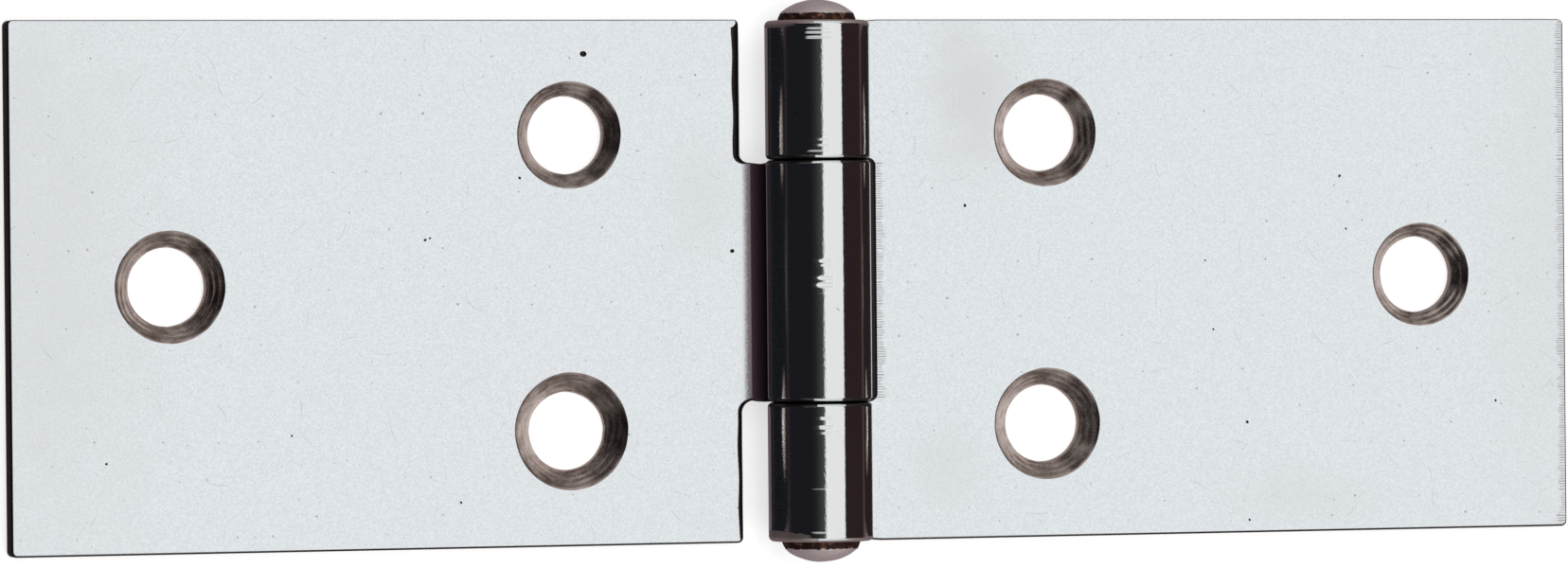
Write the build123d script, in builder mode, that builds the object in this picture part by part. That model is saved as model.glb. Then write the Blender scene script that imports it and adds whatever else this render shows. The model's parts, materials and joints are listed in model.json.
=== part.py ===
from build123d import *
import os
from math import acos, degrees

# Fixed pin hinge, lying open on its back. X runs across the two leaves, Y along the pin, and Z up through
# the sheet to the countersunk faces and the barrel. The origin is on the back, under the middle of the pin.

# Driving dimensions, in millimetres and degrees
leaf_height = 32.0              # a leaf's size along the pin
leaf_reach = 50.0               # from the pin's axis to a leaf's outer edge
sheet_thickness = 1.5
edge_break = 0.14               # chamfer along the sheet's edges, on both of its faces
leaf_corner_radius = 0.35
notch_corner_radius = 0.7
notch_clearance = 1.2           # from the round of a knuckle to the notch edge that faces it

pin_diameter = 3.3
running_clearance = 0.05        # on the radius, between the pin and the rolled knuckles
middle_knuckle_length = 14.6
knuckle_gap = 0.2               # between the ends of neighbouring knuckles
barrel_setback = 0.11           # from a leaf's end edge to the end of the barrel
setback_blend_radius = 1.0      # where the leaf's end edge steps in to the end of the barrel
mouth_gap = 0.15                # from the rolled end of the sheet to the leaf that it curls back to

screw_hole_diameter = 4.75
countersink_diameter = 6.7
countersink_angle = 90
near_hole_reach = 15.3          # from the pin's axis to the pair of holes beside the barrel
near_hole_margin = 7.0          # from a leaf's end edges to that pair
far_hole_margin = 9.8           # from a leaf's outer edge to the single hole

head_diameter = 4.8
head_taper = 0.12               # what a head's rim loses on its radius, from the barrel outwards
head_rim_height = 0.5
head_dome_height = 0.8

# Sizes that follow from them
pin_radius = pin_diameter / 2
bore_radius = pin_radius + running_clearance
knuckle_radius = bore_radius + sheet_thickness
notch_reach = knuckle_radius + notch_clearance
leaf_end = leaf_height / 2
barrel_end = leaf_end - barrel_setback
middle_knuckle_end = middle_knuckle_length / 2
outer_knuckle_start = middle_knuckle_end + knuckle_gap
mouth_angle = degrees(acos(1 - (sheet_thickness + mouth_gap) / knuckle_radius))
roll_angle = 360 - mouth_angle
rim_end = barrel_end + head_rim_height
dome_end = rim_end + head_dome_height
head_radius = head_diameter / 2
rim_radius = head_radius - head_taper

# The pin's axis lies one knuckle radius above the back, so the barrel's underside is level with the leaves
pin_plane = Plane(origin=(0, 0, knuckle_radius), x_dir=(0, 1, 0), z_dir=(1, 0, 0))
pin_axis = Axis(pin_plane.origin, pin_plane.x_dir)


def break_sheet_edges(leaf):
    """Break the flat sheet's edges on both faces, but for the ends at the pin, where the roll goes on."""
    face_edges = leaf.faces().filter_by(Axis.Z).edges()
    roll_starts = face_edges.filter_by_position(Axis.X, 0, 0)
    chamfer([edge for edge in face_edges if edge not in roll_starts], edge_break)


def roll_knuckle(start, end, axis):
    """Carry the sheet on from under the pin, round it and back down to just above its own leaf."""
    with BuildSketch(Plane.YZ) as section:
        with Locations(((start + end) / 2, sheet_thickness / 2)):
            Rectangle(end - start, sheet_thickness)
        chamfer(section.vertices(), edge_break)
    revolve(section.sketch.faces(), axis=axis, revolution_arc=roll_angle)


def drill_screw_holes(near_x, far_x):
    """Countersunk holes from the front face: a pair beside the barrel and a single one further out."""
    near_y = leaf_end - near_hole_margin
    with Locations(
        (near_x, near_y, sheet_thickness), (near_x, -near_y, sheet_thickness), (far_x, 0, sheet_thickness)
    ):
        CounterSinkHole(
            radius=screw_hole_diameter / 2,
            counter_sink_radius=countersink_diameter / 2,
            counter_sink_angle=countersink_angle,
        )


# Left leaf: one sheet, whose middle tab is rolled into the middle knuckle
with BuildPart() as left_leaf:
    with BuildSketch():
        with BuildLine():
            FilletPolyline(
                (0, 0),
                (0, middle_knuckle_end),
                (-notch_reach, middle_knuckle_end),
                (-notch_reach, leaf_end),
                (-leaf_reach, leaf_end),
                (-leaf_reach, 0),
                radius=[0, notch_corner_radius, leaf_corner_radius, leaf_corner_radius],
            )
            mirror(about=Plane.XZ)
        make_face()
    extrude(amount=sheet_thickness)
    break_sheet_edges(left_leaf)
    roll_knuckle(-middle_knuckle_end, middle_knuckle_end, pin_axis.reverse())
    drill_screw_holes(-near_hole_reach, far_hole_margin - leaf_reach)
left_leaf.part.label = "left_leaf"

# Right leaf: one sheet, notched for the middle knuckle, with a tab at each end rolled into an outer knuckle
with BuildPart() as right_leaf:
    with BuildSketch():
        with BuildLine():
            FilletPolyline(
                (notch_reach, 0),
                (notch_reach, outer_knuckle_start),
                (0, outer_knuckle_start),
                (0, barrel_end),
                (knuckle_radius, barrel_end),
                (notch_reach, leaf_end),
                (leaf_reach, leaf_end),
                (leaf_reach, 0),
                radius=[
                    notch_corner_radius,
                    0,
                    0,
                    setback_blend_radius,
                    setback_blend_radius,
                    leaf_corner_radius,
                ],
            )
            mirror(about=Plane.XZ)
        make_face()
    extrude(amount=sheet_thickness)
    break_sheet_edges(right_leaf)
    roll_knuckle(outer_knuckle_start, barrel_end, pin_axis)
    roll_knuckle(-barrel_end, -outer_knuckle_start, pin_axis)
    drill_screw_holes(near_hole_reach, leaf_reach - far_hole_margin)
right_leaf.part.label = "right_leaf"

# Pin: riveted over at both ends, with each domed head seated on the end of an outer knuckle
with BuildPart() as hinge_pin:
    with BuildSketch(pin_plane):
        with BuildLine():
            Polyline(
                (0, pin_radius),
                (barrel_end, pin_radius),
                (barrel_end, head_radius),
                (rim_end, rim_radius),
            )
            TangentArc((dome_end, 0), (rim_end, rim_radius), tangent=(0, 1))
            Line((dome_end, 0), (0, 0))
            mirror(about=Plane.YZ)
        make_face()
    revolve(axis=pin_axis)
hinge_pin.part.label = "hinge_pin"

os.makedirs("parts", exist_ok=True)
export_step(left_leaf.part, "parts/left_leaf.step")
export_step(right_leaf.part, "parts/right_leaf.step")
export_step(hinge_pin.part, "parts/hinge_pin.step")
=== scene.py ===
"""The looks of a fixed pin hinge in polished rolled steel, lying open on its back.

Sizes are in millimetres and degrees, and become metres only where a point enters a mesh.
"""
import json
import logging
from dataclasses import dataclass, field, replace
from enum import Enum
from functools import partial
from math import acos, asin, cos, degrees, exp, hypot, pi, radians, sin, sqrt
from typing import Any, Callable, Iterable, Sequence

import bmesh
import bpy
from mathutils import Matrix, Vector, noise
from mathutils.geometry import delaunay_2d_cdt, normal as plane_normal


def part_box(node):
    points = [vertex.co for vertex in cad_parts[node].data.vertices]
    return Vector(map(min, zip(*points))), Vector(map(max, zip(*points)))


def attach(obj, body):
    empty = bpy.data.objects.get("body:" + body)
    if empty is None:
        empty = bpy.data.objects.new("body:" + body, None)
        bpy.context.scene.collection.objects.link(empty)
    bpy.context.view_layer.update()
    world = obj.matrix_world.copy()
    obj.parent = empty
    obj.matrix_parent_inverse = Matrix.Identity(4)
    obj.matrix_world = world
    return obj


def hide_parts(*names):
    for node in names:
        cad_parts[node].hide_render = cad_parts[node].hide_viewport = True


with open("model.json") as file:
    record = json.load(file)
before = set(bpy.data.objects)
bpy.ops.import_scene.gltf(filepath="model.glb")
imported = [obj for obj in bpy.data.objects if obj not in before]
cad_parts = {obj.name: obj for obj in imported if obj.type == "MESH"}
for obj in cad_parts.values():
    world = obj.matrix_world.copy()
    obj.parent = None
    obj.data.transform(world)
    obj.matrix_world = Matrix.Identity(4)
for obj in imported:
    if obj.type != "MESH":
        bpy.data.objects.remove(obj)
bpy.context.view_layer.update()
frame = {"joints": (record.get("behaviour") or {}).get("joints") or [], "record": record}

MM = 0.001
SLOPE_STEP = 0.001
TRIANGLES_WITH_HOLES = 2
FILL_TOLERANCE = 1e-6
BEND_STEP = 9.0

# A pattern of noise is its features to a millimetre, its detail and its roughness. A step is the middle of a
# mask's rise and half its width. A sample is a point with its normal. A ring gives the radius and the height
# of a hole's wall at an angle round it.
Colour = tuple[float, float, float]
Pattern = tuple[float, float, float]
Step = tuple[float, float]
Sample = tuple[Vector, Vector]
Ring = Callable[[float], tuple[float, float]]

log = logging.getLogger("hinge")


class Finish(Enum):
    """The four finishes that a leaf has, each with its place among the mesh's materials."""

    FACE = 0
    SHEARED = 1
    COUNTERSUNK = 2
    ROLLED = 3


class Side(Enum):
    """Which way a leaf reaches out from the pin, as the sign of X."""

    LEFT = -1
    RIGHT = 1


# Shading


class Socket:
    """A shader socket or a plain number that takes part in expressions."""

    def __init__(self, graph: "Graph", value: Any) -> None:
        """Keeps the node graph and the wrapped socket or number."""
        self.graph = graph
        self.value = value

    def _math(self, operation: str, *values: Any) -> "Socket":
        """One Math node of that operation on the given values."""
        return self.graph.node("ShaderNodeMath", {"operation": operation}, dict(enumerate(values)))

    def __add__(self, other: Any) -> "Socket":
        """self + other."""
        return self._math("ADD", self, other)

    __radd__ = __add__

    def __sub__(self, other: Any) -> "Socket":
        """self - other."""
        return self._math("SUBTRACT", self, other)

    def __rsub__(self, other: Any) -> "Socket":
        """other - self."""
        return self._math("SUBTRACT", other, self)

    def __mul__(self, other: Any) -> "Socket":
        """self * other."""
        return self._math("MULTIPLY", self, other)

    __rmul__ = __mul__

    def __pow__(self, other: Any) -> "Socket":
        """self ** other."""
        return self._math("POWER", self, other)

    def __abs__(self) -> "Socket":
        """The size of self."""
        return self._math("ABSOLUTE", self)

    def above(self, edge: float, softness: float) -> "Socket":
        """A mask that rises smoothly from 0 to 1 as self passes an edge.

        Args:
            edge: The value of self at the middle of the rise.
            softness: Half the width of the rise.

        Returns:
            The mask.
        """
        return self.graph.node(
            "ShaderNodeMapRange",
            {"interpolation_type": "SMOOTHSTEP"},
            {"Value": self, "From Min": edge - softness, "From Max": edge + softness},
        )

    def below(self, edge: float, softness: float) -> "Socket":
        """The opposite mask of above, 1 under the edge and 0 over it."""
        return 1.0 - self.above(edge, softness)

    def sibling(self, output: Any) -> "Socket":
        """Another output of the same node, by its name or number."""
        return Socket(self.graph, self.value.node.outputs[output])


class Graph:
    """The node tree of one material, light or world."""

    def __init__(self, tree: bpy.types.NodeTree) -> None:
        """Keeps an empty node tree."""
        self.tree = tree
        tree.nodes.clear()

    def node(self, kind: str, settings: dict[str, Any], inputs: dict[Any, Any], output: Any = 0) -> Socket:
        """Adds a node.

        Args:
            kind: The node's type.
            settings: What is set on the node itself, before its sockets.
            inputs: Values or sockets by the input's name or number.
            output: The name or number of the output that is wanted.

        Returns:
            That output, or the node itself where it has no output.
        """
        made = self.tree.nodes.new(kind)
        for name, value in settings.items():
            setattr(made, name, value)
        for name, value in inputs.items():
            target = made.inputs[name]
            if isinstance(value, Socket):
                self.tree.links.new(value.value, target)
            elif target.type == "RGBA":
                target.default_value = (*value, 1.0)
            else:
                target.default_value = value
        return Socket(self, made.outputs[output]) if made.outputs else Socket(self, made)

    def place(self) -> Socket:
        """The point's place in millimetres, in the hinge's own frame."""
        metres = self.node("ShaderNodeTexCoord", {}, {}, "Object")
        return self.node("ShaderNodeVectorMath", {"operation": "SCALE"}, {0: metres, "Scale": 1 / MM})

    def axes(self, vector: Socket) -> tuple[Socket, Socket, Socket]:
        """The three components of a vector."""
        first = self.node("ShaderNodeSeparateXYZ", {}, {0: vector})
        return first, first.sibling(1), first.sibling(2)

    def vector(self, x: Any, y: Any, z: Any) -> Socket:
        """A vector from its components."""
        return self.node("ShaderNodeCombineXYZ", {}, {0: x, 1: y, 2: z})

    def noise(self, place: Socket, pattern: Pattern) -> Socket:
        """Smooth noise from 0 to 1 in a pattern."""
        scale, detail, rough = pattern
        return self.node(
            "ShaderNodeTexNoise",
            {"noise_dimensions": "3D"},
            {"Vector": place, "Scale": scale, "Detail": detail, "Roughness": rough},
            "Fac",
        )

    def mix(self, share: Any, first: Any, second: Any) -> Socket:
        """A colour between two, by a share from 0 to 1."""
        return self.node("ShaderNodeMix", {"data_type": "RGBA"}, {0: share, 6: first, 7: second}, 2)

    def bump(self, height: Socket, depth: float) -> Socket:
        """A normal from a height, whose range of 1 stands for a depth in millimetres."""
        return self.node("ShaderNodeBump", {}, {"Height": height, "Distance": depth * MM, "Strength": 1.0})


def new_material(name: str) -> tuple[bpy.types.Material, Graph]:
    """A new material with its empty node graph."""
    made = bpy.data.materials.new(name)
    made.use_nodes = True
    return made, Graph(made.node_tree)


@dataclass(frozen=True)
class Steel:
    """A plain metal surface whose finish the subclasses vary."""

    name: str
    colour: Colour
    roughness: float

    def build(self) -> bpy.types.Material:
        """Makes the material.

        Returns:
            The material with its nodes.
        """
        made, graph = new_material(self.name)
        inputs = {"Metallic": 1.0, "Roughness": self.roughness, **self.surface(graph)}
        shader = graph.node("ShaderNodeBsdfPrincipled", {}, inputs)
        graph.node("ShaderNodeOutputMaterial", {}, {"Surface": shader})
        return made

    def surface(self, graph: Graph) -> dict[str, Any]:
        """What varies over the surface, by the shader's input."""
        return {"Base Color": self.colour}


@dataclass(frozen=True)
class DarkerPatch:
    """A cloudy darker area in a leaf's polish, by its middle, its half size each way and its strength."""

    across: float
    along: float
    half_width: float
    half_length: float
    strength: float
    cloudiness: float = 1.6
    edge: Step = (1.5, 0.75)

    def mask(self, x: Socket, y: Socket, cloud: Socket) -> Socket:
        """Where the patch lies.

        Args:
            x: The place across the leaves.
            y: The place along the pin.
            cloud: Noise that makes its outline uneven.

        Returns:
            A mask that is as high as the patch's strength at its middle.
        """
        far_x = (x - self.across) * (1 / self.half_width)
        far_y = (y - self.along) * (1 / self.half_length)
        far = (far_x * far_x + far_y * far_y) ** 0.5
        return (far + cloud * self.cloudiness).below(*self.edge) * self.strength


@dataclass(frozen=True)
class PolishedFace(Steel):
    """The flat faces: bright, with a fine grain, specks, hair scratches, darker patches and drag marks at two
    edges.

    Beside the middle knuckle the left face is uneven, and darkened by a painted reflection of the barrel.
    """

    grain_colour: Colour = (0.605, 0.65, 0.68)
    patch_colour: Colour = (0.605, 0.64, 0.65)
    scratch_colour: Colour = (0.42, 0.42, 0.42)
    mark_colour: Colour = (0.30, 0.28, 0.27)
    # The colour of the painted reflection of the barrel on the left face beside the middle knuckle.
    painted_barrel_reflection: Colour = (0.10, 0.05, 0.075)
    coat_index: float = 2.0
    grain: Pattern = (9.0, 2.0, 0.8)
    grain_step: Step = (0.5, 0.2)
    cloud: Pattern = (0.35, 4.0, 0.65)
    peel: Pattern = (7.0, 2.0, 0.6)
    peel_depth: float = 0.0012
    left_side: Step = (0.0, 0.1)
    front_side: Step = (0.75, 0.1)
    tab: Step = (4.17, 0.26)
    tab_raggedness: float = 0.5
    tab_roughness: float = 0.22
    uneven: Step = (5.2, 0.8)
    uneven_depth: float = 4.5
    uneven_roughness: float = 0.03
    grain_roughness: float = 0.05
    speck_cell: float = 1.15
    speck_radius: float = 0.06
    least_radius: float = 0.02
    speck_chance: Step = (0.4, 0.02)
    scratch_cell: float = 2.6
    scratch_width: Step = (0.022, 0.012)
    scratch_bend: float = 0.25
    scratch_fade: Step = (0.5, 0.35)
    scratch_end: Step = (1.0, 0.1)
    scratch_chance: Step = (0.72, 0.02)
    scratch_strength: float = 0.8
    scratch_height: float = -1.2
    notch_edge: float = 4.17
    notch_end: Step = (7.3, 0.1)
    outer_edge: float = 50.0
    mark_wander: Pattern = (1.1, 2.0, 0.5)
    mark_reach: Pattern = (2.5, 2.0, 0.5)
    mark_wear: Pattern = (1.7, 2.0, 0.7)
    mark_strength: float = 1.9
    mark_pitch: float = 0.14
    mark_width: Step = (0.25, 0.4)
    mark_start: Step = (0.0, 0.01)
    mark_end: Step = (0.0, 0.12)
    mark_height: float = -2.0
    darker_patches: tuple[DarkerPatch, ...] = (
        # The first and the last patch make each leaf darker towards its outer end.
        DarkerPatch(-49.0, 3.0, 9.0, 22.0, 0.6),
        DarkerPatch(-7.2, 5.2, 2.6, 4.0, 0.5),
        DarkerPatch(10.6, 11.5, 3.0, 5.5, 1.0),
        DarkerPatch(8.7, -11.5, 2.6, 3.0, 0.5),
        DarkerPatch(32.0, -13.6, 6.0, 2.0, 0.4),
        DarkerPatch(49.0, 2.0, 5.0, 20.0, 0.4),
    )

    def surface(self, graph: Graph) -> dict[str, Any]:
        """Grain, darker patches, specks, scratches, drag marks and a painted reflection of the barrel beside
        the tab over the flat steel.
        """
        place = graph.place()
        x, y, z = graph.axes(place)
        grain = graph.noise(place, self.grain)
        cloud = graph.noise(place, self.cloud)
        colour = graph.mix(grain.above(*self.grain_step), self.grain_colour, self.colour)
        for patch in self.darker_patches:
            colour = graph.mix(patch.mask(x, y, cloud), colour, self.patch_colour)
        scratches = self.scratches(graph, x, y)
        marks = self.drag_marks(graph, x, y)
        colour = graph.mix(self.specks(graph, x, y), colour, self.mark_colour)
        colour = graph.mix(scratches * self.scratch_strength, colour, self.scratch_colour)
        colour = graph.mix(marks, colour, self.mark_colour)
        peel = graph.noise(place, self.peel)
        left = x.below(*self.left_side)
        # A painted reflection of the barrel: the left face's front beside the middle knuckle's tab is
        # darkened, with a ragged edge, and made rougher.
        ragged = x + grain * self.tab_raggedness - self.tab_raggedness / 2
        tab = abs(ragged).below(*self.tab) * left * z.above(*self.front_side)
        colour = graph.mix(tab, colour, self.painted_barrel_reflection)
        uneven = abs(x).below(*self.uneven) * left
        height = peel * (1 + uneven * self.uneven_depth)
        height = height + scratches * self.scratch_height + marks * self.mark_height
        roughness = self.roughness + grain * self.grain_roughness + uneven * self.uneven_roughness
        return {
            "Base Color": colour,
            "Roughness": roughness + tab * self.tab_roughness,
            "Coat Weight": 1.0,
            "Coat Roughness": 0.0,
            "Coat IOR": self.coat_index,
            "Normal": graph.bump(height, self.peel_depth),
        }

    def specks(self, graph: Graph, x: Socket, y: Socket) -> Socket:
        """Tiny dark specks, at most one to a cell, most of them far smaller than the largest.

        Args:
            graph: The material's graph.
            x: The place across the leaves.
            y: The place along the pin.

        Returns:
            A mask that is up to 1 in a speck.
        """
        cells = graph.node(
            "ShaderNodeTexVoronoi",
            {"voronoi_dimensions": "2D"},
            {"Vector": graph.vector(x, y, 0.0), "Scale": 1 / self.speck_cell, "Randomness": 1.0},
            "Distance",
        )
        chance, size, tone = graph.axes(cells.sibling("Color"))
        radius = size ** 4.0 * self.speck_radius + self.least_radius
        inside = (radius - cells * self.speck_cell).above(0.0, 0.015)
        return inside * chance.above(*self.speck_chance) * (tone * 0.7 + 0.3)

    def scratches(self, graph: Graph, x: Socket, y: Socket) -> Socket:
        """Short hair scratches, at most one to a cell, each with its own direction.

        Args:
            graph: The material's graph.
            x: The place across the leaves.
            y: The place along the pin.

        Returns:
            A mask that is 1 along a scratch.
        """
        flat = graph.vector(x, y, 0.0)
        cells = graph.node(
            "ShaderNodeTexVoronoi",
            {"voronoi_dimensions": "2D"},
            {"Vector": flat, "Scale": 1 / self.scratch_cell, "Randomness": 0.8},
            "Color",
        )
        centre = cells.sibling("Position")
        offset = graph.node("ShaderNodeVectorMath", {"operation": "SUBTRACT"}, {0: flat, 1: centre})
        chance, turn, length = graph.axes(cells)
        turned = graph.node(
            "ShaderNodeVectorRotate",
            {"rotation_type": "Z_AXIS"},
            {"Vector": offset, "Angle": turn * (2 * pi)},
        )
        along, across, _ = graph.axes(turned)
        bend = along * along * self.scratch_bend
        thin = abs(across + bend).below(*self.scratch_width)
        short = abs(along).below(*self.scratch_fade) * abs(along).below(*self.scratch_end)
        return thin * short * chance.above(*self.scratch_chance) * (length * 0.6 + 0.4)

    def drag_marks(self, graph: Graph, x: Socket, y: Socket) -> Socket:
        """Fine ticks square to the right leaf's notch edge and outer edge, where the punch dragged the steel.

        Args:
            graph: The material's graph.
            x: The place across the leaves.
            y: The place along the pin.

        Returns:
            A mask that is 1 in a tick.
        """
        wander = graph.noise(graph.vector(0.0, y, 0.0), self.mark_wander) * 0.5
        turn = (y + wander) * (2 * pi / self.mark_pitch)
        wave = graph.node("ShaderNodeMath", {"operation": "SINE"}, {0: turn})
        reach = graph.noise(graph.vector(0.0, y, 3.0), self.mark_reach)
        from_notch = x - self.notch_edge
        from_outer = self.outer_edge - x
        beside_notch = from_notch.above(*self.mark_start) * (reach - from_notch).above(*self.mark_end)
        beside_notch = beside_notch * abs(y).below(*self.notch_end)
        beside_outer = from_outer.above(*self.mark_start) * (reach - from_outer).above(*self.mark_end)
        strength = graph.noise(graph.vector(0.0, y, 7.0), self.mark_wear) * self.mark_strength
        return wave.above(*self.mark_width) * (beside_notch + beside_outer) * strength


@dataclass(frozen=True)
class RolledBarrel(Steel):
    """The rolled knuckles: mirror bright, with a slight skin and hair lines round the barrel."""

    worn_colour: Colour = (0.58, 0.50, 0.46)
    speck_colour: Colour = (0.3, 0.28, 0.28)
    skin: Pattern = (8.0, 2.0, 0.7)
    skin_depth: float = 0.0020
    lines: Pattern = (1.6, 3.0, 0.7)
    line_depth: float = 0.0006
    line_step: Step = (0.6, 0.2)
    line_stretch: tuple[float, float] = (0.25, 6.0)
    specks: Pattern = (2.1, 0.0, 0.5)
    speck_step: Step = (0.86, 0.02)
    rough_left: Step = (-0.35, 0.25)
    rough_left_depth: float = 1.4
    ragged: Pattern = (0.9, 3.0, 0.7)
    ragged_depth: float = 0.35
    worn: Step = (15.72, 0.02)
    worn_aside: Step = (2.15, 0.2)
    worn_slope: float = 0.08

    def surface(self, graph: Graph) -> dict[str, Any]:
        """Skin, hair lines that run round the barrel, and scuffs at its two ends beside the top."""
        place = graph.place()
        x, y, z = graph.axes(place)
        skin = graph.noise(place, self.skin) * (1 + x.below(*self.rough_left) * self.rough_left_depth)
        round_way, pin_way = self.line_stretch
        lines = graph.noise(graph.vector(x * round_way, y * pin_way, z * round_way), self.lines)
        specks = graph.noise(place, self.specks).above(*self.speck_step)
        colour = graph.mix(specks * 0.5, self.colour, self.speck_colour)
        ragged = graph.noise(graph.vector(x, 0.0, z), self.ragged) * self.ragged_depth - 0.15
        lower = y.below(0.0, 1.0)
        sloped = abs(y) + abs(x - 0.2) * self.worn_slope - lower * x * self.worn_slope
        worn = (sloped + ragged).above(*self.worn) * (abs(x) + lower * 0.6).above(*self.worn_aside)
        colour = graph.mix(worn, colour, self.worn_colour)
        height = skin + lines * (self.line_depth / self.skin_depth)
        return {
            "Base Color": colour,
            "Roughness": self.roughness + lines.above(*self.line_step) * 0.05 + worn * 0.4,
            "Normal": graph.bump(height, self.skin_depth),
        }


@dataclass(frozen=True)
class ShearedEdge(Steel):
    """The cut edges of the sheet: near black where the punch burnished them, a painted reflection of the dark
    room, and brown and coarse where they tore.
    """

    torn_colour: Colour = (0.42, 0.30, 0.26)
    scuffed_colour: Colour = (0.62, 0.53, 0.49)
    streaks: Pattern = (9.0, 3.0, 0.7)
    streak_stretch: float = 0.15
    ragged: Pattern = (1.8, 3.0, 0.7)
    ragged_depth: float = 0.35
    torn: Step = (0.67, 0.08)
    barrel_foot: Step = (2.0, 0.1)
    barrel_end: Step = (15.4, 0.05)
    grit_depth: float = 0.02

    def surface(self, graph: Graph) -> dict[str, Any]:
        """A burnished band painted near black over a torn one, with streaks down the edge."""
        place = graph.place()
        x, y, z = graph.axes(place)
        streaks = graph.noise(graph.vector(x, y, z * self.streak_stretch), self.streaks)
        ragged = graph.noise(graph.vector(x, y, 0.0), self.ragged) * self.ragged_depth
        torn = (z + ragged).below(*self.torn)
        colour = graph.mix(torn * (streaks * 0.6 + 0.4), self.colour, self.torn_colour)
        scuffed = abs(y).above(*self.barrel_end) * z.above(*self.barrel_foot)
        colour = graph.mix(scuffed, colour, self.scuffed_colour)
        return {
            "Base Color": colour,
            "Roughness": self.roughness + torn * 0.3 + scuffed * 0.15,
            "Normal": graph.bump(streaks, self.grit_depth),
        }


@dataclass(frozen=True)
class CountersunkCone(Steel):
    """The cut cones of the screw holes: brown-grey steel with fine rings from the cutter."""

    dark_colour: Colour = (0.23, 0.165, 0.15)
    rings: Pattern = (3.0, 3.0, 0.75)
    ring_stretch: tuple[float, float] = (0.22, 3.2)
    ring_depth: float = 0.005
    blotch: Pattern = (1.3, 2.0, 0.6)
    pale: Step = (0.62, 0.22)
    tears: Pattern = (5.0, 3.0, 0.75)
    tear_patches: Pattern = (0.8, 1.0, 0.5)
    tear_step: Step = (0.5, 0.12)
    tear_depth: float = 1.5

    def surface(self, graph: Graph) -> dict[str, Any]:
        """Rings at one height each, broken along their length, with torn patches between them."""
        place = graph.place()
        x, y, z = graph.axes(place)
        round_way, down_way = self.ring_stretch
        rings = graph.noise(graph.vector(x * round_way, y * round_way, z * down_way), self.rings)
        blotch = graph.noise(place, self.blotch)
        torn = graph.noise(place, self.tears) * graph.noise(place, self.tear_patches).above(*self.tear_step)
        pale = (rings * 0.6 + blotch * 0.7).above(*self.pale)
        colour = graph.mix(pale, self.dark_colour, self.colour)
        return {
            "Base Color": colour,
            "Roughness": self.roughness + blotch * 0.12,
            "Normal": graph.bump(rings + torn * self.tear_depth, self.ring_depth),
        }


@dataclass(frozen=True)
class PeenedSteel(Steel):
    """The pin: matt brown-grey heads with a dark, torn rim."""

    dome_shade: Colour = (0.85, 0.765, 0.725)
    rim_colour: Colour = (0.05, 0.028, 0.024)
    rust_colour: Colour = (0.36, 0.17, 0.10)
    skin: Pattern = (7.0, 3.0, 0.65)
    skin_step: Step = (0.5, 0.3)
    coarse: Pattern = (2.2, 3.0, 0.7)
    rust_step: Step = (0.58, 0.1)
    rim: Step = (16.48, 0.04)
    rim_raggedness: float = 0.3
    dimple_depth: float = 0.010

    def surface(self, graph: Graph) -> dict[str, Any]:
        """A fine hammered skin, and a dark band round each head's rim."""
        place = graph.place()
        _, y, _ = graph.axes(place)
        skin = graph.noise(place, self.skin)
        coarse = graph.noise(place, self.coarse)
        rim = (abs(y) + coarse * self.rim_raggedness).below(*self.rim)
        brown = graph.mix(coarse.above(*self.rust_step), self.rim_colour, self.rust_colour)
        dome = graph.mix(skin.above(*self.skin_step), self.dome_shade, self.colour)
        return {
            "Base Color": graph.mix(rim, dome, brown),
            "Roughness": self.roughness + skin * 0.15,
            "Normal": graph.bump(skin + coarse * rim * 2.0, self.dimple_depth),
        }


@dataclass(frozen=True)
class Paper:
    """The plain pale floor. It glows a little. In the steel's reflections it is painted: a painted shadow
    under the hinge, painted dark beyond it, and its own pale colour only under the screw holes.
    """

    name: str = "floor_paper"
    colour: Colour = (0.93, 0.93, 0.93)
    fibre_colour: Colour = (0.95, 0.95, 0.95)
    fibre: Pattern = (0.4, 3.0, 0.6)
    shade: Colour = (0.16, 0.125, 0.145)
    beyond_left: Colour = (0.035, 0.022, 0.026)
    beyond_right: Colour = (0.085, 0.05, 0.042)
    roughness: float = 0.9
    glow: float = 0.64
    screws_from: Step = (10.0, 1.0)
    screws_to: Step = (46.0, 1.0)
    screws_aside: Step = (14.0, 1.0)
    hinge_end: Step = (50.0, 1.0)

    def build(self) -> bpy.types.Material:
        """Makes the material.

        Returns:
            The material with its nodes.
        """
        made, graph = new_material(self.name)
        place = graph.place()
        x, y, _ = graph.axes(place)
        pale = graph.mix(graph.noise(place, self.fibre), self.colour, self.fibre_colour)
        # What the steel mirrors of the floor is painted: a painted shadow under the hinge, dark beyond it,
        # and pale only under the screw holes.
        mirrored = graph.node("ShaderNodeLightPath", {}, {}, "Is Glossy Ray")
        under_screws = abs(x).above(*self.screws_from) * abs(x).below(*self.screws_to)
        under_screws = under_screws * abs(y).below(*self.screws_aside)
        under_hinge = graph.mix(under_screws, self.shade, self.colour)
        beyond = graph.mix(x.above(0.0, 1.0), self.beyond_left, self.beyond_right)
        below = graph.mix(abs(x).above(*self.hinge_end), under_hinge, beyond)
        colour = graph.mix(mirrored, pale, below)
        inputs = {
            "Base Color": colour,
            "Roughness": self.roughness,
            "Specular IOR Level": 0.0,
            "Emission Color": colour,
            "Emission Strength": self.glow,
        }
        shader = graph.node("ShaderNodeBsdfPrincipled", {}, inputs)
        graph.node("ShaderNodeOutputMaterial", {}, {"Surface": shader})
        return made


# Meshes


def new_object(name: str, data: bpy.types.ID) -> bpy.types.Object:
    """A new object of the scene with its mesh, light or camera."""
    made = bpy.data.objects.new(name, data)
    bpy.context.scene.collection.objects.link(made)
    return made


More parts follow.
